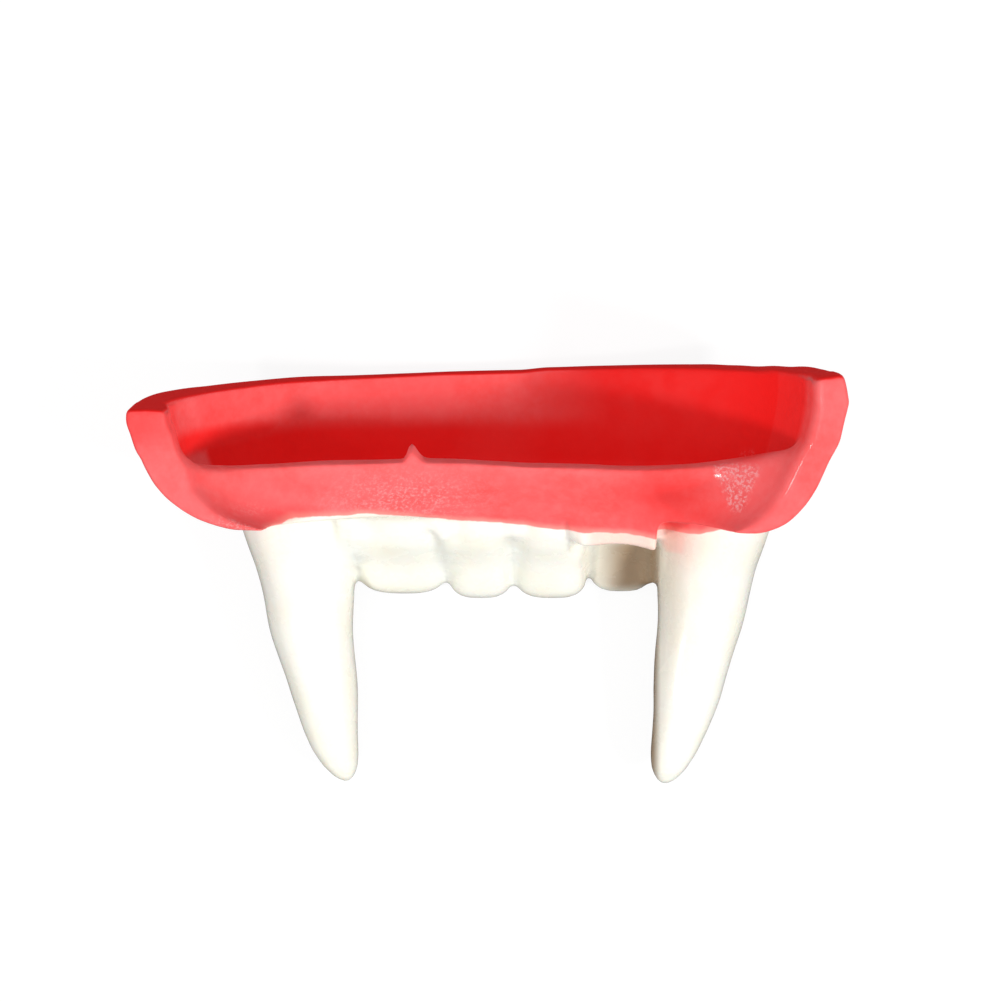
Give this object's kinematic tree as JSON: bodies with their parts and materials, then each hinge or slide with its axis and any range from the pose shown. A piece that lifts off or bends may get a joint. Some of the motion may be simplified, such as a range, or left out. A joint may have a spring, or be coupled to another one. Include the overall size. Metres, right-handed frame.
{
  "type": "vampire fang denture",
  "caption": "Costume upper denture: a hollow red gum shell with short incisors between long pointed fangs, worn over the wearer's own teeth.",
  "frame": {"origin": "middle of the footprint, on the surface that the denture lies on with its lip side down", "axes": "+X across the denture to the wearer's right, +Y from the fang tips to the rim of the gum, +Z from the lips to the tongue"},
  "size_m": [0.0618, 0.04, 0.024],
  "materials": {
    "gum_red": "gloss red paint on resin",
    "tooth_ivory": "gloss ivory resin"
  },
  "bodies": {
    "root": {"gum_base": "gum_red", "fang_left": "tooth_ivory", "lateral_incisor_left": "tooth_ivory", "central_incisor_left": "tooth_ivory", "central_incisor_right": "tooth_ivory", "lateral_incisor_right": "tooth_ivory", "fang_right": "tooth_ivory"}
  },
  "joints": []
}
